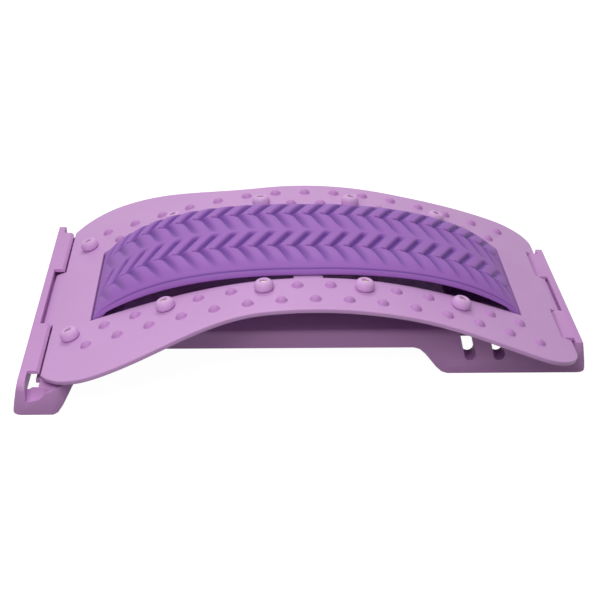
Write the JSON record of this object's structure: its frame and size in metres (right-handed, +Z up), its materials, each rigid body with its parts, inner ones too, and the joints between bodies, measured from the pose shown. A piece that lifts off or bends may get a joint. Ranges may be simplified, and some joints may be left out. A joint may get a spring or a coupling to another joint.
{
  "type": "back stretcher",
  "caption": "Lumbar back stretcher: arched massage board with nubs, magnet caps and a soft chevron pad, set between the end rails of a low moulded base; the board lifts on a hinge.",
  "frame": {"origin": "on the floor under the middle of the base", "axes": "+X towards the narrow end with the level slots, +Y towards the back, +Z up"},
  "size_m": [0.385, 0.262, 0.075],
  "materials": {
    "base_plastic": "satin lilac ABS, injection moulded",
    "board_plastic": "satin lilac ABS, injection moulded",
    "pad_elastomer": "matt purple soft elastomer, moulded",
    "cap_plastic": "satin lilac ABS, injection moulded",
    "magnet_metal": "plain nickel plate, dulled"
  },
  "bodies": {
    "base": {"base": "base_plastic"},
    "board": {"arch_board": "board_plastic", "chevron_pad": "pad_elastomer", "magnet_cap_01": "cap_plastic", "magnet_cap_02": "cap_plastic", "magnet_cap_03": "cap_plastic", "magnet_cap_04": "cap_plastic", "magnet_cap_05": "cap_plastic", "magnet_cap_06": "cap_plastic", "magnet_cap_07": "cap_plastic", "magnet_cap_08": "cap_plastic", "magnet_cap_09": "cap_plastic", "magnet_cap_10": "cap_plastic", "magnet_01": "magnet_metal", "magnet_02": "magnet_metal", "magnet_03": "magnet_metal", "magnet_04": "magnet_metal", "magnet_05": "magnet_metal", "magnet_06": "magnet_metal", "magnet_07": "magnet_metal", "magnet_08": "magnet_metal", "magnet_09": "magnet_metal", "magnet_10": "magnet_metal"}
  },
  "joints": [
    {"name": "board_lift", "type": "hinge", "parent": "base", "child": "board", "pos_m": [-0.1812, 0, 0.0175], "axis": [0, -1, 0], "range_deg": [0, 45]}
  ]
}
